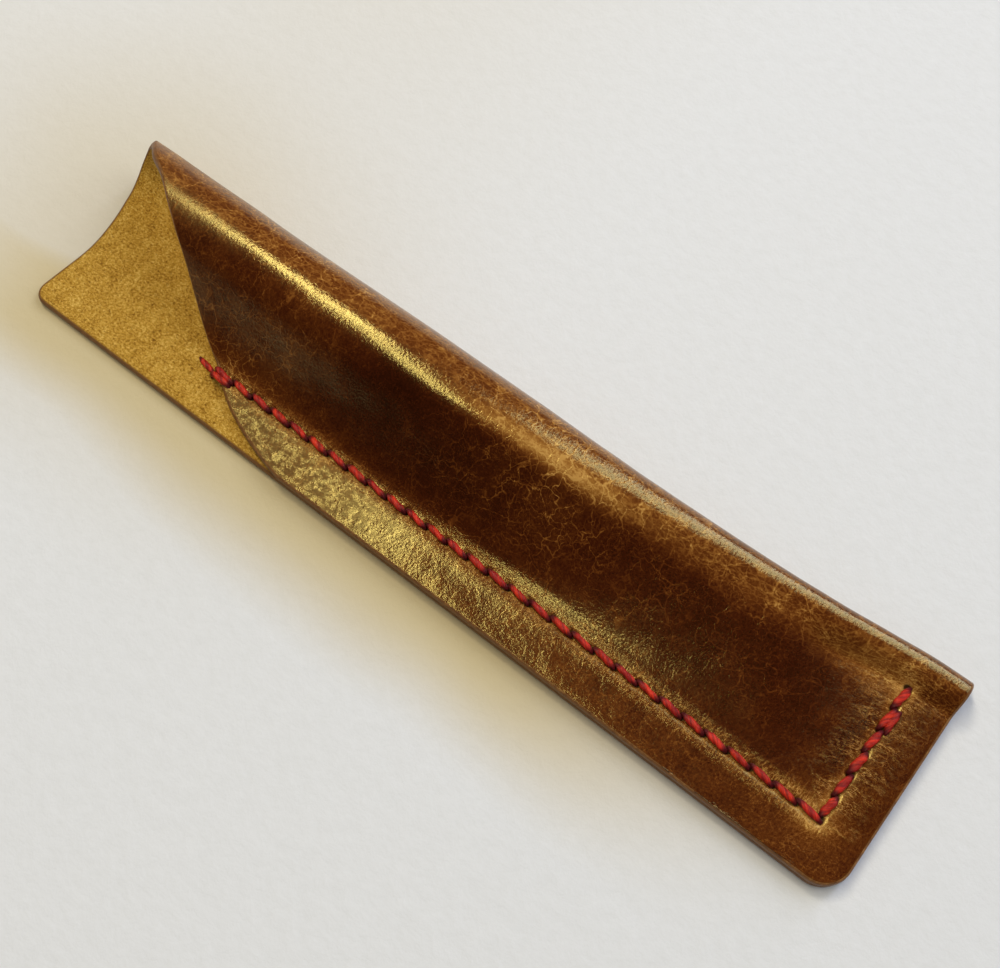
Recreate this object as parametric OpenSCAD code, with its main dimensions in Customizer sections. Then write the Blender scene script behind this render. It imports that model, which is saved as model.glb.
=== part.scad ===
// Fountain pen case: one leather blank folded lengthwise into a sleeve and
// saddle stitched along its long side and across its closed end.
// Millimetres. +X runs to the closed end and -X to the open mouth, +Y is the
// fold, -Y the stitched side, +Z up. The back panel lies flat on z = 0 and the
// origin is under the middle of the case.

/* [Case] */
// Overall length, from the mouth's furthest point to the closed end
case_length = 159.7; // [130:0.1:200]
// Overall width, from the stitched side's edge to the fold at the closed end
case_width = 38.5; // [32:0.1:50]
// Thickness of the leather
leather_t = 1.6; // [1.2:0.1:2.2]
// Radius of the rounded corner at the closed end
corner_r = 4.7; // [2:0.1:7]
// Radius of the back panel's corner at the mouth
mouth_corner_r = 2.8; // [1:0.1:5]

/* [Sleeve] */
// Outer radius of the fold at the mouth, where the pen goes in
mouth_r = 8; // [6.5:0.1:10]
// Outer radius of the fold at the closed end
end_r = 2.8; // [2.5:0.1:4]
// Length over which the fold opens out from the closed end
open_length = 92; // [60:1:120]
// How far the fold stands back at the mouth from its line at the closed end
fold_set_back = 6.4; // [3:0.1:9]

/* [Seam] */
// Distance of the long stitch line from the side edge
seam_inset = 8.1; // [6:0.1:10]
// Distance of the short stitch line from the closed end
end_inset = 7.5; // [6:0.1:10]
// Distance between stitch holes across the closed end
pitch = 4; // [3.6:0.1:4.2]
// Stitches along the long side
side_stitches = 30; // [26:1:34]
// Stitches across the closed end
end_stitches = 6; // [4:1:6]
// Diameter of the round waxed thread where it passes through the leather
thread_d = 0.76; // [0.6:0.01:0.85]
// Depth of the channel that takes the back stitches
channel_depth = 0.78; // [0.75:0.01:0.9]

/* [Hidden] */

// Everything below is worked out from the corner stitch hole: x towards the
// closed end, y towards the fold, z up from under the back panel.
layer_gap = 0.05;                                // between the two layers along the seam
z_front = 1.5 * leather_t + layer_gap;           // middle of the front layer where it lies on the back one
z_top = 2 * leather_t + layer_gap;               // grain side of the front layer there
mouth_x = end_inset - case_length;
fold_y = case_width - seam_inset;
bend_y = 1;                                      // where the front panel lifts off the back one
shift = [case_length / 2 - end_inset, seam_inset - case_width / 2, 0];

function clamp01(t) = max(0, min(1, t));
function ease(t) = let (c = clamp01(t)) c * c * (3 - 2 * c);
function mix(a, b, t) = a + (b - a) * t;
function unit(v) = v / norm(v);

// Smooth curve through [at, value] pairs.
function curve_slope(k, i) =
    i == 0 ? (k[1][1] - k[0][1]) / (k[1][0] - k[0][0]) :
    i == len(k) - 1 ? (k[i][1] - k[i - 1][1]) / (k[i][0] - k[i - 1][0]) :
    (k[i + 1][1] - k[i - 1][1]) / (k[i + 1][0] - k[i - 1][0]);
function curve_part(k, t, i = 0) = i >= len(k) - 2 || t < k[i + 1][0] ? i : curve_part(k, t, i + 1);
function curve(k, t) =
    let (i = curve_part(k, t), w = k[i + 1][0] - k[i][0], u = clamp01((t - k[i][0]) / w))
    k[i][1] * (1 + 2 * u) * (1 - u) * (1 - u) + curve_slope(k, i) * w * u * (1 - u) * (1 - u)
    + k[i + 1][1] * u * u * (3 - 2 * u) - curve_slope(k, i + 1) * w * u * u * (1 - u);

// ---- Leather: its section across the case, at x ----

function fold_r(x) = mix(end_r, mouth_r, ease(-x / open_length));
function fold_out(x) = let (d = (sqrt(x * x + 9) - x) / 2) fold_y - fold_set_back * (1 - exp(-d / 45));
// Slope at which the front panel leaves the fold: a straight run down to the seam, touching the fold's round.
function exit_angle(x) =
    let (r = fold_r(x), d = [fold_out(x) - r - bend_y - 1.2, r - z_front])
    atan2(d[1], d[0]) + asin((r - leather_t / 2) / norm(d));

// The front panel seen across the case, from the fold (u = 0) to the seam (u = 1).
function lift_pts(x) =
    let (r = fold_r(x), m = r - leather_t / 2, a = exit_angle(x),
         p0 = [fold_out(x) - r - m * sin(a), r + m * cos(a)], p3 = [bend_y, z_front], c = norm(p0 - p3))
    [p0, p0 - 0.3 * c * [cos(a), sin(a)], p3 + [0.2 * c, 0], p3];
function bezier(p, u) =
    p[0] * pow(1 - u, 3) + p[1] * 3 * u * pow(1 - u, 2) + p[2] * 3 * u * u * (1 - u) + p[3] * pow(u, 3);
// Pressed flat against the back panel up to the small loop of the fold.
function pinched_z(y, p0, a) =
    let (h = p0[1] - z_front, w = 1.5 * h, u = clamp01((y - p0[0] + w) / w))
    z_front + h * u * u * (3 - 2 * u) - tan(a) * w * u * u * (1 - u);
// The crease where the pinched end turns up into the sleeve.
function opened(x, y) = ease((-3.9 - 0.29 * y - x) / 10);
function front_mid(x, u) =
    let (p = lift_pts(x), q = bezier(p, u), k = opened(x, q[0]))
    [q[0], mix(pinched_z(q[0], p[0], exit_angle(x)), q[1], k)];
function front_normal(x, u) =
    let (a = front_mid(x, max(0, u - 0.01)), b = front_mid(x, min(1, u + 0.01)), d = unit(a - b))
    [-d[1], d[0]];

// Columns run along the case: [panel, place in that panel from 0 to 1].
columns = concat(
    [for (i = [0:13]) [0, pow(i / 13, 2.2)]],
    [for (i = [1:15]) [1, i / 15]],
    [for (i = [1:12]) [2, i < 5 ? i / 25 : mix(0.16, 1, (i - 4) / 8)]],
    [for (i = [1:10]) [3, 1 - pow(1 - i / 10, 1.8)]]);

// Middle of the leather [y, z] and the way its grain side faces [ny, nz].
function section(x, c) =
    c[0] == 0 ? [mix(-seam_inset, fold_out(x) - fold_r(x), c[1]), leather_t / 2, 0, -1] :
    c[0] == 1 ? let (r = fold_r(x), a = mix(-90, 90 + exit_angle(x), c[1]))
        [fold_out(x) - r + (r - leather_t / 2) * cos(a), r + (r - leather_t / 2) * sin(a), cos(a), sin(a)] :
    c[0] == 2 ? let (q = front_mid(x, c[1]), n = front_normal(x, c[1])) [q[0], q[1], n[0], n[1]] :
    [mix(bend_y, -seam_inset, c[1]), z_front, 0, 1];

// Widths of the back panel and of the seam allowance at the mouth.
back_w = fold_out(mouth_x) - mouth_r + seam_inset;
flange_w = bend_y + seam_inset;

// How far the cut mouth stands back from the tip: a shallow hollow in the back
// panel, then the front panel's long diagonal, which sweeps into the side edge.
back_cut = [[0, 1.4], [6, 2.2], [12.8, 2.94], [18.8, 2.3], [back_w, 0.92]];
loop_cut = [[-90, 0.92], [-65, 0.2], [-40, 0], [-15, 0.7], [10, 2.3],
            [60, 7.4], [80, 11.5], [100, 15.3], [140, 21.8]];
lift_cut = [[0, 21.8], [0.5, 28.7], [1, 36.5]];
flange_cut = [[0, 36.5], [2, 38.7], [4, 41.4], [6, 45.5], [8, 51.5], [flange_w, 55.8]];
function mouth_cut(c) =
    c[0] == 0 ? curve(back_cut, back_w * c[1]) + corner_cut(back_w * c[1], mouth_corner_r) :
    c[0] == 1 ? curve(loop_cut, mix(-90, 90 + exit_angle(mouth_x), c[1])) :
    c[0] == 2 ? curve(lift_cut, c[1]) :
    curve(flange_cut, flange_w * c[1]);
// How far a rounded corner stands back, at distance w from the side edge.
function corner_cut(w, r) = w >= r ? 0 : r - sqrt(max(0, r * r - (r - w) * (r - w)));
function edge_distance(c) = c[0] == 0 ? back_w * c[1] : c[0] == 3 ? flange_w * (1 - c[1]) : 99;

// Rows run across the case, closer together at the mouth and over the crease.
rows = [0, 0.006, 0.02, 0.05, 0.1, 0.16, 0.22, 0.28, 0.34, 0.4, 0.46, 0.52, 0.58, 0.64, 0.69, 0.74, 0.78,
        0.81, 0.835, 0.855, 0.872, 0.887, 0.902, 0.918, 0.935, 0.955, 0.98, 0.995, 1];

function leather_point(c, s, side) =
    let (x0 = mouth_x + mouth_cut(c), x1 = end_inset - corner_cut(edge_distance(c), corner_r),
         x = mix(x0, x1, s), q = section(x, c))
    [x, q[0] + side * leather_t / 2 * q[2], q[1] + side * leather_t / 2 * q[3]];

// A closed skin over two grids of points, outer then inner, m columns by n rows.
function quad(a, b, c, d) = [[a, b, c], [a, c, d]];
function grid_faces(m, n) =
    let (k = m * n)
    concat(
        [for (i = [0:m - 2]) for (j = [0:n - 2]) let (a = i * n + j)
            for (f = quad(a, a + 1, a + n + 1, a + n)) f],
        [for (i = [0:m - 2]) for (j = [0:n - 2]) let (a = k + i * n + j)
            for (f = quad(a, a + n, a + n + 1, a + 1)) f],
        [for (i = [0:m - 2]) let (a = i * n) for (f = quad(a, a + n, a + n + k, a + k)) f],
        [for (i = [0:m - 2]) let (a = i * n + n - 1) for (f = quad(a, a + k, a + n + k, a + n)) f],
        [for (j = [0:n - 2]) for (f = quad(j, j + k, j + 1 + k, j + 1)) f],
        [for (j = [0:n - 2]) let (a = (m - 1) * n + j) for (f = quad(a, a + 1, a + 1 + k, a + k)) f]);

module leather_sheet() {
    polyhedron(
        points = concat(
            [for (c = columns) for (s = rows) leather_point(c, s, 1)],
            [for (c = columns) for (s = rows) leather_point(c, s, -1)]),
        faces = grid_faces(len(columns), len(rows)));
}

// ---- Stitch holes, from the mouth round the corner to the fold ----

last_hole = side_stitches + end_stitches;
edge_hole = 36.2;                                // from the mouth's tip to the second hole
// The stitches along the side share out the length between that hole and the corner's.
side_pitch = (case_length - end_inset - edge_hole) / (side_stitches - 1);
half_slot = thread_d / 2 + 0.04;                 // from a hole's middle to each of its threads
hole_r = thread_d / 2 + 0.07;
// The second hole is set back a little, so that it clears the front panel's edge.
function hole(i) =
    i > side_stitches ? [0, (i - side_stitches) * pitch] :
    [(i - side_stitches) * side_pitch - (i == 1 ? 0.2 : 0), 0];
// Holes lie across the seam; the corner's is longer, and lies across both of its seams.
function slot_dir(i) =
    i < side_stitches ? [0, half_slot] : i == side_stitches ? [-half_slot, half_slot] : [-half_slot, 0];
// The first two holes are beside the front panel's edge, through the back panel alone.
function layers_at(i) = i < 2 ? 1 : 2;
function top_at(i) = layers_at(i) == 1 ? leather_t : z_top;

// Doubled stitches: which two, and where the second strand's holes are.
mouth_double = 1;
end_double = last_hole - 2;
beside = 2 * half_slot + 0.02;
function double_end(i) = hole(i) - slot_dir(i) - beside * unit(slot_dir(i));

// What cuts a hole at i out of the leather, where only the back panel is there or where both are.
module stitch_cut(i) {
    translate([0, 0, -1])
        linear_extrude(height = layers_at(i) == 1 ? leather_t + 1 + layer_gap / 2 : z_top + 2) children();
}

module stitch_hole(i) {
    d = slot_dir(i);
    stitch_cut(i) translate(hole(i)) {
        for (s = [-1, 1]) translate(s * d) circle(r = hole_r, $fn = 48);
        rotate(atan2(d[1], d[0])) square([2 * norm(d), 2 * hole_r], center = true);
    }
}

// The channel pressed along the back, in which the back stitches lie.
channel_half = half_slot + 0.56;
module back_channel() {
    x0 = hole(0)[0] - 1;
    y1 = hole(last_hole)[1] + 1;
    translate([0, 0, -1]) linear_extrude(height = 1 + channel_depth) {
        translate([x0, -channel_half]) square([channel_half - x0, 2 * channel_half]);
        translate([-channel_half, -channel_half]) square([2 * channel_half, y1 + channel_half]);
        for (i = [mouth_double, end_double])
            hull() for (e = [0, 1]) translate(double_end(i + e)) square(1.2, center = true);
    }
}

module leather_blank() {
    color([0.36, 0.19, 0.09])
    translate(shift)
    difference() {
        leather_sheet();
        for (i = [0:last_hole]) stitch_hole(i);
        for (i = [mouth_double, end_double], e = [0, 1])
            stitch_cut(i + e) translate(double_end(i + e)) circle(r = hole_r, $fn = 48);
        back_channel();
    }
}

// ---- Thread ----

lie = 0.4;                                       // height of a strand's middle over the leather
flat_r = 0.35;                                   // half the height of a strand pulled down on the leather
wide_r = 0.5;                                    // half its width there
back_r = 0.46;                                   // half the width of a back stitch
turn = 0.62;                                     // length over which a strand turns up out of its hole

// One ring of a strand: [middle, way it runs, sideways, half width, half height].
function ring(p, t, g, w, h) = [p, unit(t), [-g[1], g[0], 0], w, h];
// A stitch from a to b on the leather's face at height z; up = 1 on the grain
// side and -1 on the back. bow is how far its middle leans aside.
function stitch(a, b, z, up, wide = wide_r, bow = [0, 0, 0]) =
    let (g2 = unit(b - a), g = [g2[0], g2[1], 0], v = [0, 0, up], r = thread_d / 2,
         pa = [a[0], a[1], z], pb = [b[0], b[1], z])
    [ring(pa, v, g, r, r),
     ring(pa + 0.3 * turn * g + 0.72 * lie * v, v + g, g, mix(r, wide, 0.4), 0.355),
     ring(pa + turn * g + lie * v, g, g, mix(r, wide, 0.85), flat_r),
     if (up > 0) ring((pa + pb) / 2 + (lie + 0.04) * v + bow, g, g, wide, flat_r + 0.03),
     ring(pb - turn * g + lie * v, g, g, mix(r, wide, 0.85), flat_r),
     ring(pb - 0.3 * turn * g + 0.72 * lie * v, g - v, g, mix(r, wide, 0.4), 0.355),
     ring(pb, -v, g, r, r)];

function front_stitch(i) =
    stitch(hole(i) + slot_dir(i), hole(i + 1) - slot_dir(i + 1), top_at(i + (i == 1 ? 1 : 0)), 1);
function back_stitch(i) =
    stitch(hole(i) - slot_dir(i), hole(i + 1) + slot_dir(i + 1), channel_depth, -1, back_r);
// Needle 0 shows on the grain side over the even stitches, needle 1 over the odd ones.
function needle_rings(n) =
    let (all = [for (i = [0:last_hole - 1]) for (r = (i + n) % 2 == 0 ? front_stitch(i) : back_stitch(i)) r],
         e = all[len(all) - 1], s = all[0])
    concat([[[s[0][0], s[0][1], leather_t * 0.75 - 0.1], s[1], s[2], s[3], s[4]]], all,
           [[[e[0][0], e[0][1], leather_t - 0.2], e[1], e[2], e[3], e[4]]]);
function double_rings(i) =
    let (p = double_end(i), q = double_end(i + 1), lean = 0.22 * unit(slot_dir(i)),
         over = stitch(p, q, z_top, 1, bow = [lean[0], lean[1], 0]),
         under = stitch(q, p, channel_depth, -1, back_r))
    concat(over, under);

// Carries one direction along the rings without twisting, so that the skin between them doesn't twist.
function carried(r) = [for (i = 0, u = r[0][2]; i < len(r);
    i = i + 1, u = i < len(r) ? unit(u - (u * r[i][1]) * r[i][1]) : u) u];
strand_sides = 8;
function ring_points(r, u) =
    let (s = r[2], n = cross(r[1], s), f = atan2(u * n, u * s))
    [for (k = [0:strand_sides - 1]) let (a = f + k * 360 / strand_sides)
        r[0] + r[3] * cos(a) * s + r[4] * sin(a) * n];

module strand(rings) {
    u = carried(rings);
    n = len(rings);
    m = strand_sides;
    polyhedron(
        points = [for (i = [0:n - 1]) for (p = ring_points(rings[i], u[i])) p],
        faces = concat(
            [for (i = [0:n - 2]) for (k = [0:m - 1]) let (a = i * m + k, b = i * m + (k + 1) % m)
                for (f = [[a, a + m, b + m], [a, b + m, b]]) f],
            [for (k = [1:m - 2]) [0, k, k + 1]],
            [for (k = [1:m - 2]) let (e = (n - 1) * m) [e, e + k + 1, e + k]]));
}

// A strand that ends where it starts; the last ring meets the first one turned by whole sides.
module closed_strand(rings) {
    u = carried(rings);
    n = len(rings);
    m = strand_sides;
    polyhedron(
        points = [for (i = [0:n - 1]) for (p = ring_points(rings[i], u[i])) p],
        faces = [for (i = [0:n - 1]) for (k = [0:m - 1])
            let (j = (i + 1) % n, l = (k + 1) % m, a = i * m + k, b = i * m + l, c = j * m + k, d = j * m + l)
            for (f = [[a, c, d], [a, d, b]]) f]);
}

module needle_a_thread() {
    color([0.78, 0.1, 0.08]) translate(shift) strand(needle_rings(0));
}

module needle_b_thread() {
    color([0.66, 0.08, 0.07]) translate(shift) strand(needle_rings(1));
}

module mouth_backstitch() {
    color([0.84, 0.16, 0.12]) translate(shift) closed_strand(double_rings(mouth_double));
}

module end_backstitch() {
    color([0.84, 0.16, 0.12]) translate(shift) closed_strand(double_rings(end_double));
}

leather_blank();
needle_a_thread();
needle_b_thread();
mouth_backstitch();
end_backstitch();
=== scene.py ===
import math

import bpy
import numpy as np
from mathutils import Matrix, Quaternion, Vector, kdtree, noise


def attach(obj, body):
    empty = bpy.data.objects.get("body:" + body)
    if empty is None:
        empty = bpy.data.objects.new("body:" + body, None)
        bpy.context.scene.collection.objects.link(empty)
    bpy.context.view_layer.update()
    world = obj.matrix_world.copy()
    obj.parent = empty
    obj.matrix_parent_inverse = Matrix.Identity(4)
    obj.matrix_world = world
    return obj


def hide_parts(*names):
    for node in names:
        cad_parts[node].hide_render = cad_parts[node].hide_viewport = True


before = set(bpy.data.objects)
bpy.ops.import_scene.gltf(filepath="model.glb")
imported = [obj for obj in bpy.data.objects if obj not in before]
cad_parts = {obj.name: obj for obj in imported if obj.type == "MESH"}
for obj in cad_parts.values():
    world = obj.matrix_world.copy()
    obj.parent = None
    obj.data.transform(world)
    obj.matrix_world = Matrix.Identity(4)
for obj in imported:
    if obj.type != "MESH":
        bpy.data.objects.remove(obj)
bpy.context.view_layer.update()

# ---------------------------------------------------------------- sizes, mm
# Worked out from the corner stitch hole: x to the closed end, y to the fold,
# z up from under the back panel.
CASE_LENGTH, CASE_WIDTH, THICK = 159.7, 38.5, 1.6
CORNER_R, MOUTH_CORNER_R = 4.7, 2.8
# The fold's outer radius at the mouth and at the closed end, the length over which it grows, and
# how far the fold draws in as it does.
MOUTH_R, END_R, OPEN_LENGTH, SET_BACK = 8.0, 2.8, 92.0, 6.4
# The seam's distance from the side and from the closed end, and its stitches.
SEAM_INSET, END_INSET, PITCH = 8.1, 7.5, 4.0
SIDE_STITCHES, END_STITCHES = 30, 6
# The second hole stands a little further out, clear of the front panel's cut edge.
SECOND_HOLE_SHIFT = 0.2
# From a hole's middle to each of its two threads, and how deep the back stitches' channel is.
THREAD_HALF_GAP, CHANNEL = 0.34, 0.78
# The gap between the two layers, and where the front panel starts to rise.
GAP, BEND_Y = 0.05, 1.0
# The crease where the pen's room ends: its place at the side seam, and its slant.
CREASE_X, CREASE_SLANT = -3.9, 0.29
HALF = THICK / 2
Z_FRONT, Z_TOP = 1.5 * THICK + GAP, 2 * THICK + GAP
MOUTH_X = END_INSET - CASE_LENGTH
FOLD_Y = CASE_WIDTH - SEAM_INSET
LAST = SIDE_STITCHES + END_STITCHES
SHIFT = np.array([CASE_LENGTH / 2 - END_INSET, SEAM_INSET - CASE_WIDTH / 2, 0.0])


def in_row(points):
    """Points in mm from the corner hole, as metres in the shared frame."""
    return (np.asarray(points, float) + SHIFT) / 1000


def mix(a, b, t):
    return a + (b - a) * t


def ease(t):
    """0 to 1 with soft ends, for t from 0 to 1."""
    t = np.clip(t, 0, 1)
    return t * t * (3 - 2 * t)


def bell(t):
    """1 at t = 0, fading to nothing by about 2 on both sides."""
    return np.exp(-t * t)


def curve(keys, t):
    """Smooth curve through (at, value) pairs."""
    k = np.asarray(keys, float)
    at, v = k[:, 0], k[:, 1]
    m = np.empty(len(k))
    m[1:-1] = (v[2:] - v[:-2]) / (at[2:] - at[:-2])
    m[0], m[-1] = (v[1] - v[0]) / (at[1] - at[0]), (v[-1] - v[-2]) / (at[-1] - at[-2])
    t = np.clip(t, at[0], at[-1])
    i = np.clip(np.searchsorted(at, t, side="right") - 1, 0, len(k) - 2)
    w = at[i + 1] - at[i]
    u = (t - at[i]) / w
    return (v[i] * (1 + 2 * u) * (1 - u) ** 2 + m[i] * w * u * (1 - u) ** 2
            + v[i + 1] * u * u * (3 - 2 * u) - m[i + 1] * w * u * u * (1 - u))


# ---------------------------------------------------------------- the folded sheet
def fold_r(x):
    """The fold's outer radius."""
    return mix(END_R, MOUTH_R, ease(-x / OPEN_LENGTH))


def fold_out(x):
    """How far out (y) the fold reaches."""
    d = (np.sqrt(x * x + 9) - x) / 2
    return FOLD_Y - SET_BACK * (1 - np.exp(-d / 45))


def exit_angle(x):
    """How steeply the front panel leaves the fold, down towards the seam."""
    r = fold_r(x)
    dy, dz = fold_out(x) - r - BEND_Y - 1.2, r - Z_FRONT
    return np.arctan2(dz, dy) + np.arcsin((r - HALF) / np.hypot(dy, dz))


def bezier(a, b, c, d, u):
    """The cubic Bezier curve from a to d, with handles b and c."""
    return a * (1 - u) ** 3 + 3 * b * u * (1 - u) ** 2 + 3 * c * u * u * (1 - u) + d * u ** 3


def front_mid(x, u):
    """Middle of the front panel (y, z), from the fold (u = 0) to the seam (u = 1)."""
    r, a = fold_r(x), exit_angle(x)
    m = r - HALF
    y0, z0 = fold_out(x) - r - m * np.sin(a), r + m * np.cos(a)
    c = np.hypot(y0 - BEND_Y, z0 - Z_FRONT)
    y = bezier(y0, y0 - 0.3 * c * np.cos(a), BEND_Y + 0.2 * c, BEND_Y, u)
    z = bezier(z0, z0 - 0.3 * c * np.sin(a), Z_FRONT, Z_FRONT, u)
    h = z0 - Z_FRONT
    w = 1.5 * h
    p = np.clip((y - y0 + w) / w, 0, 1)
    pressed = Z_FRONT + h * p * p * (3 - 2 * p) - np.tan(a) * w * p * p * (1 - p)
    return y, mix(pressed, z, ease((CREASE_X - CREASE_SLANT * y - x) / 10))


def sheet_at(x, q):
    """Middle of the sheet at x: (y, z) and the way its grain side faces, for q from 0 to 4:
    the back panel, the fold, the front panel's slope and its seam allowance."""
    panel = np.clip(np.floor(q), 0, 3)
    f = q - panel
    out = [np.zeros_like(x) for _ in range(4)]
    r = fold_r(x)
    y = mix(-SEAM_INSET, fold_out(x) - r, f)
    parts = [(y, np.full_like(x, HALF), np.zeros_like(x), -np.ones_like(x))]
    a = mix(-math.pi / 2, math.pi / 2 + exit_angle(x), f)
    y, z = fold_out(x) - r + (r - HALF) * np.cos(a), r + (r - HALF) * np.sin(a)
    parts.append((y, z, np.cos(a), np.sin(a)))
    y, z = front_mid(x, f)
    ya, za = front_mid(x, np.maximum(0, f - 0.01))
    yb, zb = front_mid(x, np.minimum(1, f + 0.01))
    d = np.hypot(ya - yb, za - zb)
    parts.append((y, z, -(za - zb) / d, (ya - yb) / d))
    y = mix(BEND_Y, -SEAM_INSET, f)
    parts.append((y, np.full_like(x, Z_FRONT), np.zeros_like(x), np.ones_like(x)))
    for k, part in enumerate(parts):
        for o, v in zip(out, part):
            np.copyto(o, v, where=panel == k)
    return out


BACK_W = float(fold_out(MOUTH_X) - MOUTH_R + SEAM_INSET)
FLANGE_W = BEND_Y + SEAM_INSET
# How far the cut mouth stands back from the tip: by mm across the back panel, by degrees round
# the fold, by share of the slope, and by mm across the allowance.
BACK_CUT = [(0, 1.4), (6, 2.2), (12.8, 2.94), (18.8, 2.3), (BACK_W, 0.92)]
LOOP_CUT = [(-90, 0.92), (-65, 0.2), (-40, 0), (-15, 0.7), (10, 2.3), (60, 7.4), (80, 11.7), (100, 15.3),
            (120, 18.8), (140, 21.9)]
LIFT_CUT = [(0, 21.9), (0.5, 28.4), (1, 35.6)]
FLANGE_CUT = [(0, 35.6), (1, 36.9), (2, 38.2), (3, 39.7), (4, 41.3), (5, 43.2), (6, 45.6), (7, 48.3),
              (8, 51.6), (FLANGE_W, 56.3)]


def corner_cut(w, r):
    """How far a round corner stands back, w mm from the side edge."""
    return np.where(w >= r, 0, r - np.sqrt(np.maximum(0, r * r - (r - w) ** 2)))


def mouth_cut(q):
    """How far the cut mouth stands back from the case's tip, at column q."""
    if q <= 1:
        return float(curve(BACK_CUT, BACK_W * q) + corner_cut(BACK_W * q, MOUTH_CORNER_R))
    if q <= 2:
        return float(curve(LOOP_CUT, mix(-90, 90 + math.degrees(exit_angle(MOUTH_X)), q - 1)))
    if q <= 3:
        return float(curve(LIFT_CUT, q - 2))
    return float(curve(FLANGE_CUT, FLANGE_W * (q - 3)))


def end_cut(q):
    """How far the closed end's round corners stand back, at column q."""
    if 1 < q < 3:
        return 0.0
    return float(corner_cut(back_mm * q if q <= 1 else FLANGE_W * (4 - q), CORNER_R))


# Columns run round the sheet and rows along it. Both are closest at the edges and the seam.
EDGE_STEPS = [0, 0.05, 0.2, 0.45, 0.8, 1.2, 1.7, 2.2, 2.7]
ROW_STEPS = np.array([0, 0.12, 0.35, 0.7, 1.1, 1.6])
ROWS = 345
back_mm = CASE_WIDTH - END_R
columns = [w / back_mm for w in EDGE_STEPS]
columns += list(np.arange(3.3, 6.6, 0.6) / back_mm) + list(np.arange(6.9, 13.2, 0.33) / back_mm)
columns += list(np.arange(13.8, back_mm - 0.3, 0.6) / back_mm)
columns += list(1 + np.arange(0, 38) / 38)
columns += list(2 + np.arange(0, 46) / 46 * 0.86) + list(2 + np.linspace(0.86, 1, 12)[:-1])
columns += list(3 + np.arange(0, 3.2, 0.32) / FLANGE_W) + list(3 + np.arange(3.3, 6.3, 0.45) / FLANGE_W)
columns += [4 - w / FLANGE_W for w in reversed(EDGE_STEPS)]
columns = np.array(columns)


def rows_at(q):
    x0, x1 = MOUTH_X + mouth_cut(q), END_INSET - end_cut(q)
    near_edge, inset = ROW_STEPS[:-1], ROW_STEPS[-1]
    middle = np.linspace(x0 + inset, x1 - inset, ROWS - 2 * len(near_edge))
    return np.concatenate([x0 + near_edge, middle, x1 - near_edge[::-1]])


X = np.stack([rows_at(q) for q in columns])
Q = np.repeat(columns[:, None], ROWS, 1)
Y, Z, NY, NZ = sheet_at(X, Q)
NC = len(columns)

# The sheet laid flat: distance round it from the back panel's side edge, and x.
step = np.hypot(np.diff(Y, axis=0), np.diff(Z, axis=0))
W = np.concatenate([np.zeros((1, ROWS)), np.cumsum(step, 0)])
flat = np.stack([W, X], -1)

# ---- distance of each point from the cut outline, in the flat sheet
# The outline's points, once round, and which way is out at each.
ring = ([(0, j) for j in range(ROWS)] + [(i, ROWS - 1) for i in range(1, NC)]
        + [(NC - 1, j) for j in range(ROWS - 2, -1, -1)] + [(i, 0) for i in range(NC - 2, 0, -1)])
ring_i, ring_j = np.array([r[0] for r in ring]), np.array([r[1] for r in ring])
outline = flat[ring_i, ring_j]
after, before = np.roll(outline, -1, 0), np.roll(outline, 1, 0)
legs = [(after - outline), (outline - before)]
legs = [v / np.maximum(np.linalg.norm(v, axis=1), 1e-9)[:, None] for v in legs]
along = legs[0] + legs[1]
along /= np.linalg.norm(along, axis=1)[:, None]
outward = np.stack([-along[:, 1], along[:, 0]], 1)
if np.sum((outline - outline.mean(0)) * outward) < 0:
    outward = -outward
# The same in finer steps.
OUTLINE_STEP = 0.06
dense, dense_out = [], []
for k in range(len(ring)):
    n = max(1, int(np.linalg.norm(after[k] - outline[k]) / OUTLINE_STEP))
    for s in range(n):
        dense.append(mix(outline[k], after[k], s / n))
        dense_out.append(mix(outward[k], outward[(k + 1) % len(ring)], s / n))
tree = kdtree.KDTree(len(dense))
for k, p in enumerate(dense):
    tree.insert((p[0], p[1], 0), k)
tree.balance()
# The burnished edge is round: near it the sheet's faces are pulled in, most at the cut.
REACH, PULL_REACH, BURNISH = 6.0, 2.0, 0.42
edge = np.full(X.shape, REACH)
pull = np.zeros(X.shape + (2,))
near = np.zeros(X.shape, bool)
for strip in (np.s_[:16], np.s_[-18:], np.s_[:, :16], np.s_[:, -16:]):
    near[strip] = True
for i, j in zip(*np.nonzero(near)):
    _, k, d = tree.find((flat[i, j, 0], flat[i, j, 1], 0))
    edge[i, j] = min(d, REACH)
    if d < PULL_REACH:
        v = flat[i, j] - dense[k] if d > 0.08 else -dense_out[k]
        pull[i, j] = v / np.linalg.norm(v) * BURNISH * (1 - d / PULL_REACH) ** 2


# ---------------------------------------------------------------- stitches
def hole(i):
    """Stitch hole i, counted from the mouth, past the corner to the closed end's last one."""
    if i > SIDE_STITCHES:
        return np.array([0, (i - SIDE_STITCHES) * PITCH])
    return np.array([(i - SIDE_STITCHES) * PITCH - (SECOND_HOLE_SHIFT if i == 1 else 0), 0.0])


def slot_dir(i):
    """From hole i's middle to the thread that lies on the inner side of the seam."""
    across_side = THREAD_HALF_GAP if i <= SIDE_STITCHES else 0
    across_end = THREAD_HALF_GAP if i >= SIDE_STITCHES else 0
    return np.array([-across_end, across_side])


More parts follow.
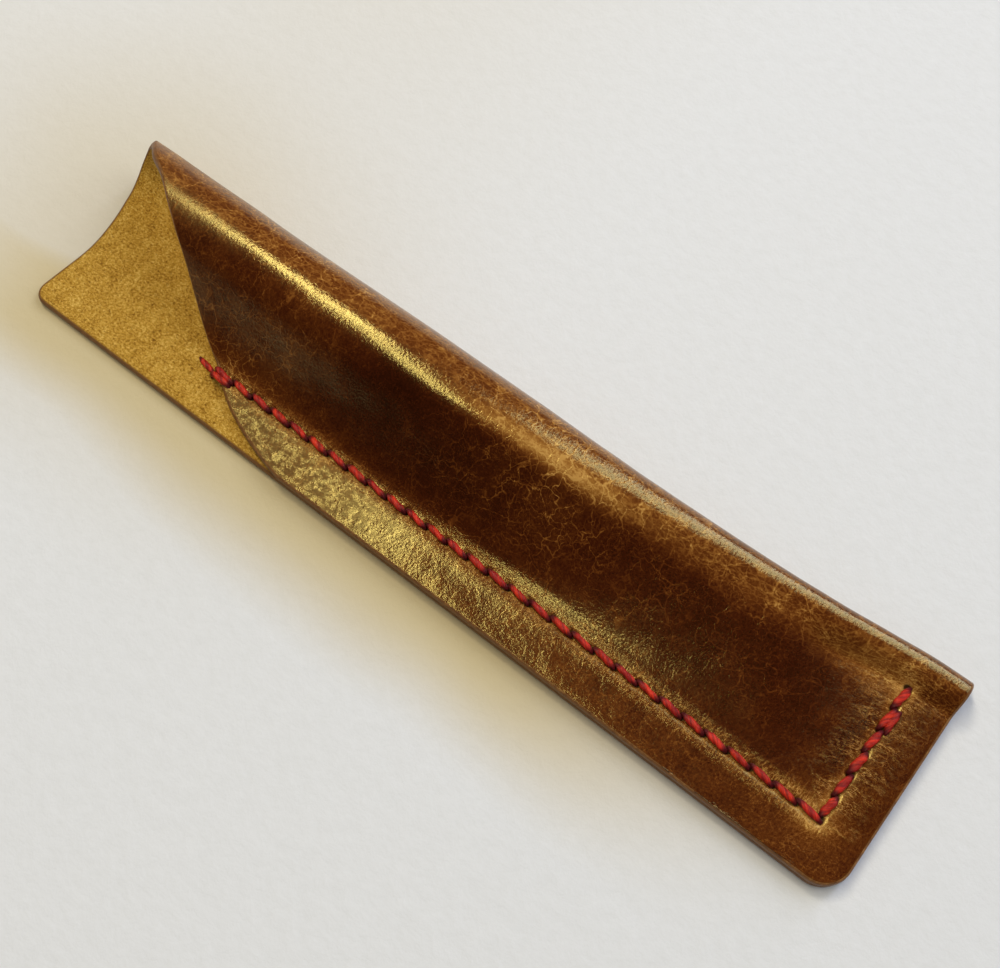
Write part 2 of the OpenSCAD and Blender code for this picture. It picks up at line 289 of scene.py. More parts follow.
seam_start, seam_stop = float(hole(0)[0]), float(hole(LAST)[1])
beyond_side = np.where(X >= 0, X, X - seam_start)
beyond_end = np.where(Y <= 0, Y, Y - seam_stop)
seam_side = np.where((X < 0) & (X > seam_start), np.abs(Y), np.hypot(beyond_side, Y))
seam_end = np.where((Y > 0) & (Y < seam_stop), np.abs(X), np.hypot(X, beyond_end))
seam = np.minimum(seam_side, seam_end)
hole_pit = np.zeros(X.shape)
for i in range(LAST + 1):
    h = hole(i)
    hole_pit = np.maximum(hole_pit, bell(np.hypot(X - h[0], Y - h[1]) / 0.52))


def field(seed, size):
    """Smooth noise over the flat sheet, about -1 to 1, with features of that size in mm."""
    values = [noise.noise((w, x, seed)) for w, x in zip(W.ravel() / size, X.ravel() / size)]
    return np.array(values).reshape(X.shape)


slow, mid = field(3.1, 14.0), field(9.7, 4.5)
back = Q < 0.99
front = Q > 1.9
lift = (Q > 2) & (Q < 3)
flange = Q >= 3
# Heights in mm over the smooth sheet: slow waves, then the pressed seam and its holes, the raised
# crease at the end of the pen's room, the allowance's unevenness and the back stitches' channel.
open_part = ease((seam - 2.5) / 5) * ease((edge - 0.5) / 4)
wave = (Q > 1.0) * (0.16 * slow + 0.05 * mid) * open_part * ease((Q - 1.2) / 0.4)
crease_d = np.abs((X - CREASE_X) + CREASE_SLANT * Y) / math.hypot(1, CREASE_SLANT)
crease = lift * ease((Y - 1.5) / 4) * ease((25 - Y) / 5)
grain_h = wave.copy()
grain_h += front * (-0.20 * bell(seam / 0.85) + 0.05 * bell((seam - 2.0) / 0.9)
                    - 0.5 * hole_pit * bell(seam / 0.9))
grain_h += front * 0.09 * bell(crease_d / 0.45) * crease * (0.6 + 0.6 * mid)
grain_h += flange * (0.045 * mid + 0.04 * slow) * ease(edge / 1.5) * ease((seam - 0.6) / 1.2)
grain_h -= back * CHANNEL * (1 - ease((seam - 0.82) / 0.42))
# The flesh side shows at the mouth only.
flesh_h = wave.copy()
flesh_h += back * (-0.10 * bell(seam / 0.8) - 0.35 * hole_pit) * (X < -112)
flesh_h += (back & (X < -60)) * 0.03 * mid * ease(edge / 2)

# ---------------------------------------------------------------- leather mesh
TY, TZ = -NZ, NY
SY, SZ = Y + TY * pull[..., 0], Z + TZ * pull[..., 0]
SX = X + pull[..., 1]


def skin(side, height):
    """The grain side (1) or the flesh side (-1), at that height over the smooth sheet."""
    off = side * (HALF + height)
    return np.stack([SX, SY + NY * off, SZ + NZ * off], -1)


grain, flesh = skin(1, grain_h), skin(-1, -flesh_h)
# Nothing dips below the surface that the case lies on.
grain[..., 2] = np.maximum(grain[..., 2], 0)
# The rounded edge is a number of rings between the two sides.
EDGE_RINGS = 5
rim_mid = np.stack([X, Y, Z], -1)[ring_i, ring_j]
rim_n = np.stack([np.zeros(len(ring)), NY[ring_i, ring_j], NZ[ring_i, ring_j]], -1)
rim_t = np.stack([np.zeros(len(ring)), TY[ring_i, ring_j], TZ[ring_i, ring_j]], -1)
rim_out = rim_t * outward[:, :1] + np.array([1.0, 0, 0]) * outward[:, 1:]
rim_wave = wave[ring_i, ring_j]
rims = []
for k in range(1, EDGE_RINGS + 1):
    a = math.pi / 2 - math.pi * k / (EDGE_RINGS + 1)
    lift_off = (HALF * math.sin(a) + rim_wave)[:, None]
    rims.append(rim_mid + rim_out * BURNISH * (math.cos(a) - 1) + rim_n * lift_off)
verts = np.concatenate([grain.reshape(-1, 3), flesh.reshape(-1, 3)] + rims)
idx = np.arange(NC * ROWS).reshape(NC, ROWS)
a, b, c, d = idx[:-1, :-1].ravel(), idx[1:, :-1].ravel(), idx[1:, 1:].ravel(), idx[:-1, 1:].ravel()
total = NC * ROWS
faces = [np.stack([a, d, c, b], 1), np.stack([a, b, c, d], 1) + total]
ring_id = idx[ring_i, ring_j]
rim_ids = [2 * total + k * len(ring) + np.arange(len(ring)) for k in range(EDGE_RINGS)]
loops = [ring_id] + rim_ids + [ring_id + total]
for p, q in zip(loops[:-1], loops[1:]):
    faces.append(np.stack([p, q, np.roll(q, -1), np.roll(p, -1)], 1))
kinds = np.concatenate([np.full(len(f), min(k, 2)) for k, f in enumerate(faces)])
faces = np.concatenate(faces)


def mesh_object(name, points, quads, material_index=None):
    """A smooth mesh of points in mm and faces of four."""
    mesh = bpy.data.meshes.new(name)
    mesh.vertices.add(len(points))
    mesh.vertices.foreach_set("co", in_row(points).astype(np.float32).ravel())
    mesh.loops.add(len(quads) * 4)
    mesh.loops.foreach_set("vertex_index", quads.ravel().astype(np.int32))
    mesh.polygons.add(len(quads))
    mesh.polygons.foreach_set("loop_start", np.arange(0, len(quads) * 4, 4, dtype=np.int32))
    if material_index is not None:
        mesh.polygons.foreach_set("material_index", material_index.astype(np.int32))
    mesh.update(calc_edges=True)
    mesh.validate()
    mesh.shade_smooth()
    made = bpy.data.objects.new(name, mesh)
    bpy.context.scene.collection.objects.link(made)
    return made


def attribute(obj, name, values):
    """A number or a vector at each point, for the materials."""
    values = np.asarray(values, np.float32)
    kind = "FLOAT" if values.ndim == 1 else "FLOAT_VECTOR"
    made = obj.data.attributes.new(name, kind, "POINT")
    made.data.foreach_set("value" if values.ndim == 1 else "vector", values.ravel())


leather = mesh_object("leather_sleeve", verts, faces, kinds)

# ---- how pale, worn and stretched the leather is, from place to place, with one painted highlight
# The tone is dark at 0 and pale at 1. First the pale fold, the slope's foot and the mouth.
across_fold = fold_out(X) - Y
on_fold = (1 - ease((across_fold - 6.0) / 5.0)) * (Q > 1)
tone = 0.10 + on_fold * mix(0.32, 0.20, ease((X + 60) / 50)) * (Q < 3)
tone += lift * 0.10 * ease((Q - 2.35) / 0.6)
tone += (~flange) * 0.15 * ease((-82 - X) / 26) * (1 - on_fold)
# A stretched patch of the slope, and a paler band beside the fold.
tone += 0.13 * bell((X + 55) / 15) * bell((Y - 12) / 7) * (Q > 1.6)
tone += 0.06 * bell((across_fold - 6) / 3) * ease((X + 60) / 40) * (Q > 1.3)
# Painted highlight: the far part of the shine along the fold's top, painted pale into the leather's colour.
tone += 0.50 * bell((X + 64) / 16) * bell((across_fold - 8.4 + 0.045 * (X + 70)) / 1.3) * (Q > 1.3)
# Where the fold is pressed flat by the end seam, and just before that seam.
tone += 0.16 * bell((X + 4) / 9) * bell((Y - 23) / 4.0) * (Q > 1.5)
tone += 0.08 * bell((X + 6) / 3) * (seam > 1) * lift
# The allowance along the side and across the end.
allowance = mix(0.32, 0.29, ease((X + 95) / 50))
tone = np.where(flange, mix(allowance, tone, ease(Y + 0.6)), tone)
tone += front * ease((X - 0.5) / 2) * (0.26 - tone) * 0.85 * ease((across_fold - 2) / 3)
# Pale along the pressed seam, most at its corner.
tone += front * 0.44 * bell(seam / 1.25) * mix(0.6, 1.0, ease((X + 30) / 30))
tone += front * 0.30 * bell(np.hypot(X + 0.5, Y) / 4.2)
tone = np.where(back, 0.36, tone) + 0.06 * slow + 0.04 * mid
# How strong the pale wrinkles are, most of all in the stretched patch.
crack = 0.34 + 0.15 * on_fold + 0.75 * bell((X + 58) / 18) * bell((Y - 14) / 10) * (Q > 1.6)
crack += 0.35 * bell((X + 118) / 16) * (Q > 1) + 0.15 * bell((X + 28) / 14) * bell((Y - 20) / 8)
crack += 0.3 * bell((seam - 1.5) / 2.0) * front - 0.2 * bell((X + 90) / 12) * (Q > 1)
crack = np.clip(crack + 0.35 * slow, 0, 1.3)


def for_both(values):
    """The sheet's values for its grain side, its flesh side and its edge."""
    return np.concatenate([values.ravel(), values.ravel()] + [values[ring_i, ring_j]] * EDGE_RINGS)


attribute(leather, "edge", for_both(edge))
attribute(leather, "seam", for_both(seam))
attribute(leather, "end_seam", for_both((seam_end < seam_side) * 1.0))
attribute(leather, "tone", for_both(tone))
attribute(leather, "crack", for_both(crack))
attribute(leather, "fold", for_both(on_fold))
attribute(leather, "front", for_both(front * 1.0))
attribute(leather, "flange", for_both(ease(Q * FLANGE_W - 3 * FLANGE_W - 0.6)))
# The sheet laid flat, with its flesh side and edge at other depths so that their patterns differ.
depth = [np.zeros(total), np.full(total, 40.0)] + [np.full(len(ring), 0.25 * k) for k in range(EDGE_RINGS)]
attribute(leather, "sheet", np.stack([for_both(W), for_both(X), np.concatenate(depth)], -1))
attribute(leather, "place", np.stack([for_both(X), for_both(Y), for_both(Z)], -1))


# ---------------------------------------------------------------- thread
# Half widths of the stitches on the grain side, and how far their ends sit in the leather.
SIDE_THREAD, END_THREAD, SUNK = 0.55, 0.66, 0.18


def perp(g):
    """A quarter turn to the left, seen from above."""
    return np.array([-g[1], g[0], 0.0])


def stitch_path(a, b, z, up, wide, high, lie, seed, n=24, bow=0.0):
    """One stitch from hole a to hole b, as rows of (point, sideways, half width, half height,
    how deep it is in a hole). It starts and ends at height z and lies lie mm over it (up = 1)
    or under it (-1)."""
    a, b = np.append(a, 0.0), np.append(b, 0.0)
    g = (b - a) / np.linalg.norm(b - a)
    rng = np.random.RandomState(seed)
    wide = wide * (1 + 0.09 * rng.uniform(-1, 1))
    lean = bow + 0.06 * rng.uniform(-1, 1)
    rows = []
    for k in range(n + 1):
        th = math.pi * (1 - k / n)
        c, s = math.cos(th), math.sin(th)
        u = 0.5 + 0.5 * math.copysign(abs(c) ** 0.9, c)
        fat = float(ease((min(u, 1 - u) + 0.02) / 0.30))
        p = mix(a, b, u) + perp(g) * lean * math.sin(math.pi * u)
        p[2] = z + up * lie * s ** 0.7
        deep = 1 - float(ease((min(u, 1 - u) - 0.06) / 0.21))
        rows.append((p, perp(g), mix(0.36, wide, fat), mix(0.30, high, fat), deep))
    return rows


def in_hole(p, q, side_a, side_b, n=3):
    """Rows through the leather from p to q."""
    shares = [k / (n + 1) for k in range(1, n + 1)]
    return [(mix(p, q, t), mix(side_a, side_b, t), 0.28, 0.28, 1.0) for t in shares]


def over_edge(rows):
    """The same stitch, coming up from the back panel over the front panel's cut edge."""
    lowered = []
    for k, (p, *rest) in enumerate(rows):
        z = max(THICK, p[2] - 1.5 * max(0, 1 - k / 6))
        lowered.append((np.array([p[0], p[1], z]), *rest))
    return lowered


def twisted(name, rows, closed=False, sides=22, plies=2, turn=4.6, seed=0):
    """A waxed thread of twisted plies along rows of (point, sideways, half width, half height, deep)."""
    p = np.array([r[0] for r in rows])
    side = np.array([r[1] for r in rows])
    n = len(p)
    t = (np.roll(p, -1, 0) - np.roll(p, 1, 0)) if closed else np.gradient(p, axis=0)
    t /= np.linalg.norm(t, axis=1)[:, None]
    side = side - t * np.sum(side * t, 1)[:, None]
    side /= np.linalg.norm(side, axis=1)[:, None]
    up = np.cross(t, side)
    gone = np.concatenate([[0], np.cumsum(np.linalg.norm(np.diff(p, axis=0), axis=1))])
    whole = gone[-1] + (np.linalg.norm(p[0] - p[-1]) if closed else 0)
    turns = round(whole / turn) if closed else whole / turn
    ang = np.linspace(0, 2 * math.pi, sides, endpoint=False)
    spin = 2 * math.pi * turns * gone / whole + seed
    lobe = np.abs(np.cos(plies / 2 * (ang[None, :] - spin[:, None])))
    radius = 0.78 + 0.22 * lobe ** 0.6
    wide, high = (np.array([r[k] for r in rows])[:, None] for k in (2, 3))
    pts = (p[:, None] + (side[:, None] * (np.cos(ang)[None, :] * wide * radius)[..., None])
           + up[:, None] * (np.sin(ang)[None, :] * high * radius)[..., None])
    i = np.arange(n if closed else n - 1)[:, None]
    k = np.arange(sides)[None, :]
    here, ahead, next_k = i * sides, ((i + 1) % n) * sides, (k + 1) % sides
    quads = np.stack([here + k, here + next_k, ahead + next_k, ahead + k], -1).reshape(-1, 4)
    made = mesh_object(name, pts.reshape(-1, 3), quads)
    # Around and along the thread, for its fibres, and how deep each point is in the leather.
    attribute(made, "ply", lobe.ravel())
    round_ply, down = ang[None, :] - spin[:, None], np.repeat(gone[:, None], sides, 1) * 0.25
    attribute(made, "fibre", np.stack([np.cos(round_ply), np.sin(round_ply), down], -1).reshape(-1, 3))
    attribute(made, "deep", np.repeat([r[4] for r in rows], sides))
    return made


def front_rows(i):
    """Stitch i on the grain side. The first one lies beyond the front panel, on the flesh side."""
    a, b = hole(i) + slot_dir(i), hole(i + 1) - slot_dir(i + 1)
    if i == 0:
        return stitch_path(a, b, THICK - 0.05, 1, 0.50, 0.36, 0.36, i)
    wide = SIDE_THREAD if i < SIDE_STITCHES else END_THREAD
    rows = stitch_path(a, b, Z_TOP - SUNK, 1, wide, 0.46, 0.52, i)
    return over_edge(rows) if i == 1 else rows


def back_rows(i):
    """Stitch i in the channel under the back panel."""
    a, b = hole(i) - slot_dir(i), hole(i + 1) + slot_dir(i + 1)
    return stitch_path(a, b, CHANNEL, -1, 0.48, 0.37, 0.40, 500 + i, n=14)


def needle(name, n, seed):
    """One needle's half of the saddle stitch, on the grain side over every second stitch."""
    rows = []
    for i in range(LAST):
        part = front_rows(i) if (i + n) % 2 == 0 else back_rows(i)
        if rows:
            rows += in_hole(rows[-1][0], part[0][0], rows[-1][1], part[0][1])
        rows += part
    return twisted(name, rows, seed=seed)


def doubled(name, i, seed):
    """The second turn of thread beside stitch i, round both layers."""
    off = -slot_dir(i) / np.linalg.norm(slot_dir(i))
    a, b = hole(i) + off * 0.90, hole(i + 1) + off * 1.0
    over = stitch_path(a, b, Z_TOP - SUNK, 1, 0.62, 0.46, 0.50, 40 + i, bow=0.16)
    if i == 1:
        over = over_edge(over)
    under = stitch_path(b, a, CHANNEL, -1, 0.46, 0.37, 0.40, 80 + i, n=14)
    under = [(p, -side, *rest) for p, side, *rest in under]
    rows = over + in_hole(over[-1][0], under[0][0], over[-1][1], under[0][1])
    rows += under + in_hole(under[-1][0], over[0][0], under[-1][1], over[0][1])
    return twisted(name, rows, closed=True, seed=seed)


thread_a = needle("thread_needle_a", 0, 0.4)
thread_b = needle("thread_needle_b", 1, 1.9)
double_mouth = doubled("thread_double_mouth", 1, 0.9)
double_end = doubled("thread_double_end", LAST - 2, 2.2)


# ---------------------------------------------------------------- materials
def srgb(r, g, b):
    def one(c):
        c /= 255
        return c / 12.92 if c <= 0.04045 else ((c + 0.055) / 1.055) ** 2.4
    return (one(r), one(g), one(b), 1)


class Graph:
    """A material's nodes, written as calls that return their output sockets."""

    def __init__(self, name):
        self.mat = bpy.data.materials.new(name)
        self.mat.use_nodes = True
        self.tree = self.mat.node_tree
        self.tree.nodes.clear()

    def put(self, socket, value):
        """Link value to the socket if it is one itself, or else set it."""
        if isinstance(value, bpy.types.NodeSocket):
            self.tree.links.new(value, socket)
        else:
            socket.default_value = value

    def node(self, kind, inputs=None, **settings):
        made = self.tree.nodes.new("ShaderNode" + kind)
        for key, value in settings.items():
            setattr(made, key, value)
        for key, value in (inputs or {}).items():
            self.put(made.inputs[key], value)
        return made

    def attr(self, name, vector=False):
        return self.node("Attribute", attribute_name=name).outputs["Vector" if vector else "Fac"]

    def math(self, op, a, b=0.0):
        return self.node("Math", {0: a, 1: b}, operation=op).outputs[0]

    def add(self, a, b):
        return self.math("ADD", a, b)

    def mul(self, a, b):
        return self.math("MULTIPLY", a, b)

    def sub(self, a, b):
        return self.math("SUBTRACT", a, b)

    def step(self, value, lo, hi, a=0.0, b=1.0):
        """a where value is lo or less, b where it is hi or more, smooth between."""
        ends = {"Value": value, "From Min": lo, "From Max": hi, "To Min": a, "To Max": b}
        return self.node("MapRange", ends, interpolation_type="SMOOTHSTEP").outputs["Result"]

    def mix(self, f, a, b):
        """From colour a to colour b."""
        return self.node("Mix", {0: f, 6: a, 7: b}, data_type="RGBA").outputs[2]

    def mix_number(self, f, a, b):
        return self.node("Mix", {0: f, 2: a, 3: b}).outputs[0]

    def length(self, vector):
        return self.node("VectorMath", {0: vector}, operation="LENGTH").outputs["Value"]

    def scale(self, vector, by):
        return self.node("VectorMath", {0: vector, 1: by}, operation="MULTIPLY").outputs[0]

    def shift(self, a, b):
        return self.node("VectorMath", {0: a, 1: b}, operation="ADD").outputs[0]

    def noise(self, vector, scale, detail=3.0, rough=0.55, colour=False):
        n = self.node("TexNoise", {"Vector": vector, "Scale": scale, "Detail": detail, "Roughness": rough})
        return n.outputs["Color" if colour else "Fac"]

    def voronoi(self, vector, scale, feature="F1"):
        n = self.node("TexVoronoi", {"Vector": vector, "Scale": scale}, feature=feature)
        return n.outputs["Distance"]

    def warp(self, vector, scale, by, detail=2.0):
        """vector moved about by noise, up to about by each way."""
        n = self.noise(vector, scale, detail, colour=True)
        n = self.shift(n, (-0.5, -0.5, -0.5))
        return self.shift(vector, self.scale(n, (2 * by, 2 * by, 0)))

    def ramp(self, f, stops):
        """The colour at f between stops of (at, colour)."""
        n = self.node("ValToRGB", {"Fac": f})
        e = n.color_ramp.elements
        e[0].position, e[0].color = stops[0]
        e[1].position, e[1].color = stops[-1]
        for at, colour in stops[1:-1]:
            e.new(at).color = colour
        return n.outputs["Color"]

    def split(self, vector):
        return self.node("SeparateXYZ", {0: vector}).outputs

    def join(self, x, y, z):
        return self.node("CombineXYZ", {0: x, 1: y, 2: z}).outputs[0]

    def bump(self, height, distance):
        return self.node("Bump", {"Height": height, "Distance": distance}).outputs["Normal"]

    def finish(self, **inputs):
        """The shader, with its inputs given by name, linked to the output."""
        names = {k.replace("_", " "): v for k, v in inputs.items()}
        shader = self.node("BsdfPrincipled", names)
        out = self.node("OutputMaterial")
        self.tree.links.new(shader.outputs[0], out.inputs[0])
        return self.mat


BROWNS = [(0.0, srgb(40, 9, 2)), (0.2, srgb(64, 22, 6)), (0.4, srgb(94, 46, 14)), (0.6, srgb(126, 74, 28)),
          (0.8, srgb(158, 106, 46)), (1.0, srgb(194, 144, 74))]


def grain_material():
    g = Graph("pull_up_leather")
    sheet, (x, y, _) = g.attr("sheet", True), g.split(g.attr("place", True))
    edge_d, seam_d, fold, crack = g.attr("edge"), g.attr("seam"), g.attr("fold"), g.attr("crack")
    # Light wrinkles where the leather was bent: a broken net, a finer one, and one drawn out along
    # the fold.
    bent = g.warp(g.warp(sheet, 0.2, 2.6), 0.8, 0.7)
    net = g.step(g.voronoi(bent, 0.36, "DISTANCE_TO_EDGE"), 0.0, 0.042, 1, 0)
    here = g.step(g.noise(sheet, 0.21, 3), 0.36, 0.56)
    bent = g.warp(g.warp(g.shift(sheet, (31, 7, 0)), 0.4, 1.3), 1.4, 0.4)
    small = g.step(g.voronoi(bent, 0.80, "DISTANCE_TO_EDGE"), 0.0, 0.07, 1, 0)
    here_small = g.step(g.noise(g.shift(sheet, (3, 17, 0)), 0.3, 3), 0.36, 0.60)
    drawn = g.warp(g.warp(g.scale(sheet, (1.35, 0.60, 1)), 0.5, 0.9), 1.6, 0.35)
    drawn = g.step(g.voronoi(drawn, 1.0, "DISTANCE_TO_EDGE"), 0.0, 0.16, 1, 0)
    veins = g.mul(g.add(g.mul(g.mul(net, here), 0.9), g.mul(g.mul(small, here_small), 0.6)), crack)
    here_drawn = g.step(g.noise(g.shift(sheet, (13, 2, 0)), 0.35, 3), 0.25, 0.6, 0.35, 1)
    drawn = g.mul(drawn, g.mul(fold, here_drawn))
    # Short creases that run away from the stitches, thin as hairs.
    across = g.mix(g.attr("end_seam"), g.scale(sheet, (0.42, 1.9, 1)), g.scale(sheet, (1.9, 0.42, 1)))
    ridge = g.math("ABSOLUTE", g.sub(g.noise(g.warp(across, 0.7, 0.5), 1.5, 3, 0.65), 0.5))
    rays = g.mul(g.step(ridge, 0.0, 0.04, 1, 0), g.attr("front"))
    here_rays = g.step(g.noise(g.shift(across, (0, 50, 0)), 0.5, 2), 0.42, 0.56, 0.25, 1)
    rays = g.mul(rays, g.mix_number(g.attr("end_seam"), 1.0, here_rays))
    rays = g.mul(rays, g.step(seam_d, 0.4, g.add(3.2, g.mul(g.attr("end_seam"), 4.6)), 1, 0))
    # Hair-fine wrinkles in patches all over.
    fine = g.math("ABSOLUTE", g.sub(g.noise(g.warp(g.shift(sheet, (8, 21, 0)), 0.9, 0.6), 0.95, 3, 0.6), 0.5))
    here_hairs = g.step(g.noise(g.shift(sheet, (40, 3, 0)), 0.24, 3), 0.40, 0.60, 0.15, 1)
    hairs = g.mul(g.step(fine, 0.0, 0.022, 1, 0), here_hairs)
    tone = g.add(g.attr("tone"), g.mul(g.sub(g.noise(sheet, 0.32, 4, 0.6), 0.5), 0.30))
    pore_depth = g.add(0.50, g.mul(g.attr("flange"), 0.25))
    tone = g.add(tone, g.mul(g.sub(g.noise(sheet, 2.2, 3, 0.75), 0.5), pore_depth))
    tone = g.add(tone, g.mul(hairs, 0.20))
    tone = g.add(tone, g.mul(veins, 0.42))
    tone = g.add(tone, g.mul(drawn, 0.22))
    tone = g.add(tone, g.mul(rays, 0.55))
    colour = g.ramp(tone, BROWNS)
    # The stitch holes under the thread's ends: painted shade, dark and red where the thread goes down into
    # them.
    def holes_along(at, off):
        """1 in the holes of a straight seam: at runs along it and off away from it."""
        past_hole = g.mul(g.sub(g.math("FRACT", g.add(g.mul(at, 1 / PITCH), 0.5)), 0.5), PITCH)
        return g.step(g.length(g.join(past_hole, off, 0.0)), 0.50, 0.85, 1, 0)

    on_side = g.mul(g.step(x, seam_start - 1.0, seam_start - 0.6), g.step(x, 0.4, 0.8, 1, 0))
    on_end = g.mul(g.step(y, -0.8, -0.4), g.step(y, seam_stop + 0.6, seam_stop + 1.0, 1, 0))
    holes = g.math("MAXIMUM", g.mul(holes_along(x, y), on_side), g.mul(holes_along(y, x), on_end))
    # Painted shade: the holes nearly black-red.
    colour = g.mix(g.mul(holes, 0.94), colour, srgb(34, 6, 8))
    colour = g.mix(g.step(edge_d, 0.05, 0.4, 0.5, 0), colour, srgb(96, 56, 24))
    # Pores and creases as relief, in parts of the bump's distance. The allowance is the most pebbled.
    foil = g.mul(g.attr("flange"), g.step(x, -98.0, -68.0, 1.9, 0.30))
    lumps = g.mul(g.noise(sheet, 0.45, 5, 0.56), g.add(0.22, foil))
    height = g.add(lumps, g.mul(g.noise(g.warp(sheet, 2.0, 0.1), 2.4, 2, 0.6), 0.20))
    height = g.sub(height, g.mul(g.add(veins, g.mul(drawn, 0.45)), 0.07))
    height = g.sub(height, g.mul(rays, 0.08))
    rough = g.add(0.11, g.mul(g.noise(g.shift(sheet, (5, 5, 0)), 1.3, 4, 0.65), 0.11))
    rough = g.add(rough, g.mul(holes, 0.3))
    # The slope is duller towards the mouth, where it is handled, and the allowance shines in patches.
    rough = g.add(rough, g.mul(g.step(x, -146.0, -112.0, 0.17, 0), g.sub(1.0, g.attr("flange"))))
    patches = g.noise(g.shift(g.scale(sheet, (1, 0.7, 1)), (60, 9, 0)), 0.9, 5, 0.68)
    dull = g.mul(g.step(patches, 0.42, 0.56, 0.40, 0.0), g.step(x, -96.0, -66.0, 1.0, 0))
    rough = g.add(rough, g.mul(dull, g.attr("flange")))
    return g.finish(Base_Color=colour, Roughness=rough, Normal=g.bump(height, 0.00017),
                    Specular_IOR_Level=0.8, Specular_Tint=(1.0, 0.84, 0.27, 1))


def flesh_material():
    g = Graph("leather_flesh_side")
    sheet = g.attr("sheet", True)
    blotch = g.noise(sheet, 0.4, 3, 0.6)
    nap = g.noise(g.warp(g.scale(sheet, (1, 0.7, 1)), 1.5, 0.3), 2.8, 4, 0.8)
    long_flecks = g.warp(g.shift(g.scale(sheet, (1, 0.5, 1)), (9, 4, 0)), 1.0, 0.5)
    fleck = g.step(g.noise(long_flecks, 2.0, 4, 0.8), 0.56, 0.66)
    colour = g.ramp(g.add(g.mul(blotch, 0.22), g.mul(nap, 0.78)),
                    [(0.36, srgb(112, 70, 16)), (0.5, srgb(190, 143, 50)), (0.64, srgb(228, 190, 100))])
    colour = g.mix(g.mul(fleck, 0.55), colour, srgb(98, 60, 16))
    colour = g.mix(g.step(g.attr("edge"), 0.1, 0.5, 0.6, 0), colour, srgb(122, 80, 32))
    height = g.add(g.mul(nap, 0.8), g.mul(blotch, 0.3))
    return g.finish(Base_Color=colour, Roughness=g.add(0.78, g.mul(nap, 0.15)),
                    Normal=g.bump(height, 0.00020), Specular_IOR_Level=0.15)


def edge_material():
    g = Graph("burnished_leather_edge")
    sheet = g.attr("sheet", True)
    streak = g.noise(g.scale(sheet, (0.5, 0.5, 5)), 2.0, 4, 0.6)
    colour = g.ramp(streak, [(0.3, srgb(92, 54, 22)), (0.55, srgb(128, 84, 38)), (0.8, srgb(164, 118, 60))])
    return g.finish(Base_Color=colour, Roughness=g.add(0.36, g.mul(streak, 0.2)),
                    Normal=g.bump(streak, 0.00008), Specular_IOR_Level=0.4)


def thread_material(name, light, dark):
    g = Graph(name)
    fibre = g.attr("fibre", True)
    strands = g.noise(g.scale(fibre, (5, 5, 1.0)), 1.8, 4, 0.7)
    patch = g.noise(g.scale(fibre, (0.6, 0.6, 2.2)), 1.0, 2, 0.5)
    ply, deep = g.attr("ply"), g.attr("deep")
    colour = g.mix(g.step(g.add(g.mul(strands, 0.6), g.mul(patch, 0.4)), 0.40, 0.60), dark, light)
    # Painted shade: darker in the grooves between the plies, and darkest where the thread goes down into the
    # holes.
    colour = g.mix(g.step(ply, 0.05, 0.55, 0.6, 0), colour, srgb(96, 10, 14))
    colour = g.mix(g.mul(deep, 0.92), colour, srgb(60, 7, 16))
    height = g.add(g.mul(strands, 0.8), g.mul(ply, 0.3))
    return g.finish(Base_Color=colour, Roughness=g.add(0.34, g.mul(strands, 0.22)),
                    Normal=g.bump(height, 0.00010), Specular_IOR_Level=0.5,
                    Specular_Tint=(1.0, 0.62, 0.55, 1))


for material in (grain_material(), flesh_material(), edge_material()):
    leather.data.materials.append(material)
red = thread_material("waxed_thread_red", srgb(224, 52, 20), srgb(132, 13, 12))
red_b = thread_material("waxed_thread_red_b", srgb(216, 46, 24), srgb(126, 12, 14))
for piece, material in ((thread_a, red), (thread_b, red_b), (double_mouth, red), (double_end, red)):
    piece.data.materials.append(material)

DRESSED = [(leather, "leather_blank", "leather"), (thread_a, "needle_a_thread", "thread"),
           (thread_b, "needle_b_thread", "thread"), (double_mouth, "mouth_backstitch", "thread"),
           (double_end, "end_backstitch", "thread")]
for piece, node, slot in DRESSED:
    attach(piece, "root")
    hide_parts(node)


